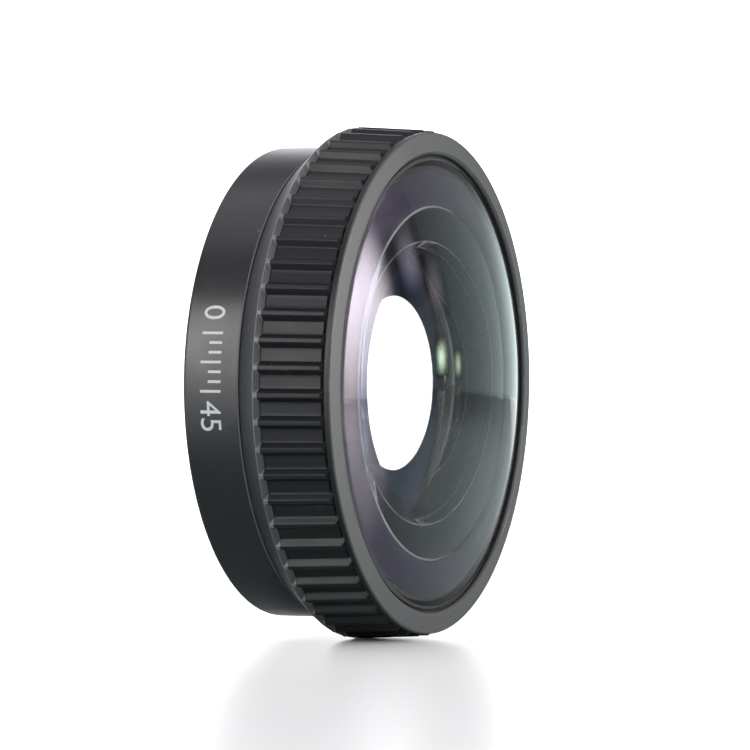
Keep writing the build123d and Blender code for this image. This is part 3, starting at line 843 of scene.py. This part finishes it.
# A band is where an effect sets in and where it is full, along the sweep or in height
tone_band, mirrored_band, glow_band, through_band = (-0.1, 0.9), (0.45, 0.84), (-0.1, 0.5), (0.34, 0.66)
low_band, high_band = (0.3, 0.7), (0.1, 0.5)
rays = node(tree, "ShaderNodeLightPath")
toward = node(tree, "ShaderNodeTexCoord").outputs["Generated"]
sweep = node(tree, "ShaderNodeVectorMath", {"operation": "DOT_PRODUCT"}, i0=toward, i1=bright_side)
sweep = sweep.outputs["Value"]
tone = node(tree, "ShaderNodeValToRGB", Fac=span(tree, sweep, *tone_band))
stops = tone.color_ramp.elements
stops[0].position, stops[0].color = 0.0, violet_tint
stops[1].position, stops[1].color = white_stop, pure_white
for spot in cyan_stops:
    stops.new(spot).color = cyan_tint
height = node(tree, "ShaderNodeSeparateXYZ", Vector=toward).outputs["Z"]
low = span(tree, height, *low_band, low=mirrored_strength, high=0.0, easing="SMOOTHSTEP")
mirrored = span(tree, sweep, *mirrored_band, easing="SMOOTHSTEP")
mirrored = maths(tree, "MULTIPLY", mirrored, low)
glow = span(tree, sweep, *glow_band, low=dim_glow, high=bright_glow, easing="SMOOTHSTEP")
through = span(tree, sweep, *through_band, high=through_strength, easing="SMOOTHSTEP")
strength = span(tree, rays.outputs["Is Transmission Ray"], 0.0, 1.0, low=mirrored, high=through)
strength = maths(tree, "ADD", strength, glow)
strength = maths(tree, "MAXIMUM", rays.outputs["Is Camera Ray"], strength)
high = span(tree, height, *high_band)
tone = blend_colour(tree, high, tone.outputs["Color"], high_tint)
hue = blend_colour(tree, rays.outputs["Is Camera Ray"], tone, pure_white)
white = node(tree, "ShaderNodeBackground", Color=hue, Strength=strength)
target = node(tree, "ShaderNodeOutputWorld")
tree.links.new(white.outputs[0], target.inputs["Surface"])

# The panels are kept off the glass, so no hard-edged picture of them shows in the deep bowl
shaded = bpy.data.collections.new("glass_kept_dark")
for glass in (meniscus, front):
    shaded.objects.link(glass)
for entry in shaded.collection_objects:
    entry.light_linking.link_state = "EXCLUDE"


def face_lens(made, direction, distance):
    # Places a light or a card in a direction from the lens, turned towards it
    away = Vector(direction).normalized()
    made.location = away * distance
    made.rotation_euler = away.to_track_quat("Z", "Y").to_euler()


def panel(name, direction, distance, width, height, watts):
    # A soft panel of light
    light = bpy.data.lights.new(name, "AREA")
    light.shape = "RECTANGLE"
    light.size, light.size_y = width, height
    light.energy = watts
    made = bpy.data.objects.new(name, light)
    bpy.context.scene.collection.objects.link(made)
    face_lens(made, direction, distance)
    made.light_linking.receiver_collection = shaded


panel("top_panel", (-0.1, 0.15, 1.0), distance=0.45, width=0.50, height=0.40, watts=0.58)
panel("left_panel", (-0.90, 0.42, 0.30), distance=0.55, width=0.20, height=0.32, watts=1.35)
panel("front_panel", (0.170, -0.963, 0.208), distance=0.50, width=0.26, height=0.28, watts=1.15)


def soft_card(name, azimuth, elevation, distance, width, height, strength, colour, low_fade, plateau):
    # A glowing card that only the lens sees; azimuth is counted from the front, in degrees.
    # It glows evenly out to a plateau on each side, and low_fade is how far its lower edge fades in.
    material, tree = bare_material(name)
    place = node(tree, "ShaderNodeSeparateXYZ", Vector=node(tree, "ShaderNodeTexCoord").outputs["Object"])
    away = maths(tree, "ABSOLUTE", place.outputs["X"])
    sides = span(tree, away, width * plateau, width * 0.5, low=1.0, high=0.0, easing="SMOOTHSTEP")
    top = span(tree, place.outputs["Y"], height * plateau, height * 0.5, low=1.0, high=0.0,
               easing="SMOOTHSTEP")
    bottom = span(tree, place.outputs["Y"], -height * 0.5, height * (low_fade - 0.5), easing="SMOOTHSTEP")
    level = maths(tree, "MULTIPLY", sides, top)
    level = maths(tree, "MULTIPLY", level, bottom)
    level = maths(tree, "MULTIPLY", level, strength)
    show_surface(tree, node(tree, "ShaderNodeEmission", Color=colour, Strength=level))
    made = piece(name, rectangle(width, height), [material])
    a, e = radians(azimuth), radians(elevation)
    face_lens(made, (sin(a) * cos(e), -cos(a) * cos(e), sin(e)), distance)
    made.visible_camera = False
    made.visible_shadow = False


soft_card("front_card", azimuth=29.0, elevation=8.0, distance=0.50, width=0.19, height=0.34,
          strength=33.0, colour=(1.0, 0.95, 0.94, 1), low_fade=0.7, plateau=0.06)
soft_card("far_lamp", azimuth=60.5, elevation=1.8, distance=4.0, width=0.26, height=0.20,
          strength=6.3, colour=(0.71, 1.0, 0.67, 1), low_fade=0.5, plateau=0.0)
soft_card("room_glow", azimuth=55.0, elevation=10.0, distance=4.0, width=0.6, height=0.5,
          strength=1.3, colour=(0.85, 0.80, 1.0, 1), low_fade=0.5, plateau=0.0)


# Camera: level with the optical axis, well to the side of the front glass.
# The middle of the rear face shows left of the photo's middle and a little below it.
side = radians(-64.8)
back = Vector((sin(side), -cos(side), 0.0))
right = Vector((-back.y, back.x, 0.0))
up = Vector((0.0, 0.0, 1.0))
distance = 0.400
pixels_per_radian = 5048.0
image_width = 750.0
image_middle = image_width / 2
rear_column, rear_row = 286.7, 382.7
metres_per_pixel = distance / pixels_per_radian
aim = (right * (image_middle - rear_column) + up * (rear_row - image_middle)) * metres_per_pixel
roll = radians(0.55)
camera_data = bpy.data.cameras.new("camera")
camera_data.sensor_width = 36.0
camera_data.lens = camera_data.sensor_width * pixels_per_radian / image_width
camera_data.clip_start = 0.01
camera_data.clip_end = 20.0
camera = bpy.data.objects.new("camera", camera_data)
bpy.context.scene.collection.objects.link(camera)
camera.location = back * distance
level = (camera.location - aim).to_track_quat("Z", "Y")
camera.rotation_euler = (level @ Quaternion((0, 0, 1), roll)).to_euler()
bpy.context.scene.camera = camera
bpy.context.scene.view_settings.view_transform = "Standard"
